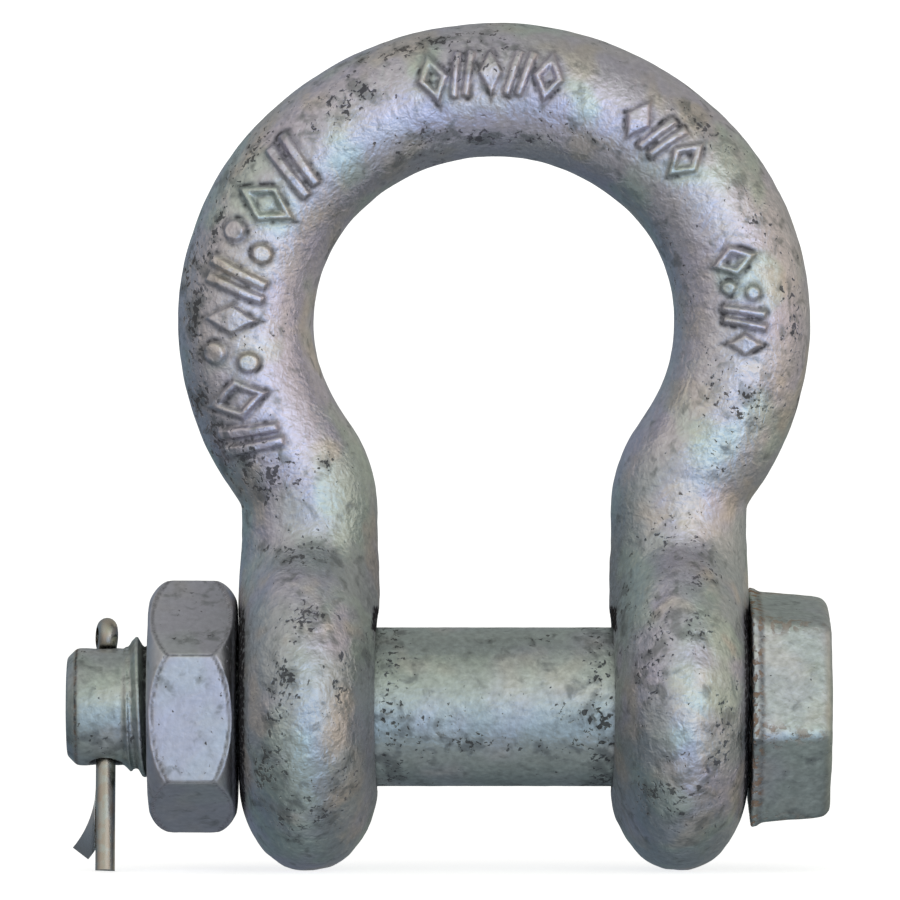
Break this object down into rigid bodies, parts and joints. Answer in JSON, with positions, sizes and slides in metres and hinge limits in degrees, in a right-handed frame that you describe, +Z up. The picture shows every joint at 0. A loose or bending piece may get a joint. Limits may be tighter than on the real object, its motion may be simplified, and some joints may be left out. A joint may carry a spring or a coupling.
{
  "type": "bow shackle",
  "caption": "Forged bow shackle with a hexagon-headed safety bolt, hexagon nut and split pin, for joining rope, chain or rigging to a ring.",
  "frame": {"origin": "on the bolt's axis, midway between the inner faces of the two ears", "axes": "+X along the bolt towards its head, +Z up to the crown of the bow, the bow lying in the XZ plane"},
  "size_m": [0.1068, 0.0476, 0.119],
  "materials": {
    "bow": "hot-dip galvanised forging, satin with fine grain and dark specks",
    "bolt": "hot-dip galvanised, smooth satin",
    "nut": "hot-dip galvanised, smooth satin",
    "split_pin": "bright drawn steel wire"
  },
  "bodies": {
    "bow": {"bow": "bow"},
    "bolt": {"bolt": "bolt"},
    "nut": {"nut": "nut"},
    "split_pin": {"split_pin": "split_pin"}
  },
  "joints": [
    {"name": "bolt_turn", "type": "hinge", "parent": "bow", "child": "bolt", "pos_m": [0, 0, 0], "axis": [1, 0, 0], "range_deg": [0, 520]},
    {"name": "nut_travel", "type": "slide", "parent": "bow", "child": "nut", "axis": [-1, 0, 0], "range_m": [0, 0.0037]},
    {"name": "split_pin_slide", "type": "slide", "parent": "bolt", "child": "split_pin", "axis": [0, 0.2079, 0.9781], "range_m": [0, 0.005]}
  ],
  "couplings": [
    {"joint": "nut_travel", "follows": "bolt_turn", "m_per_rad": 0.00039789}
  ]
}
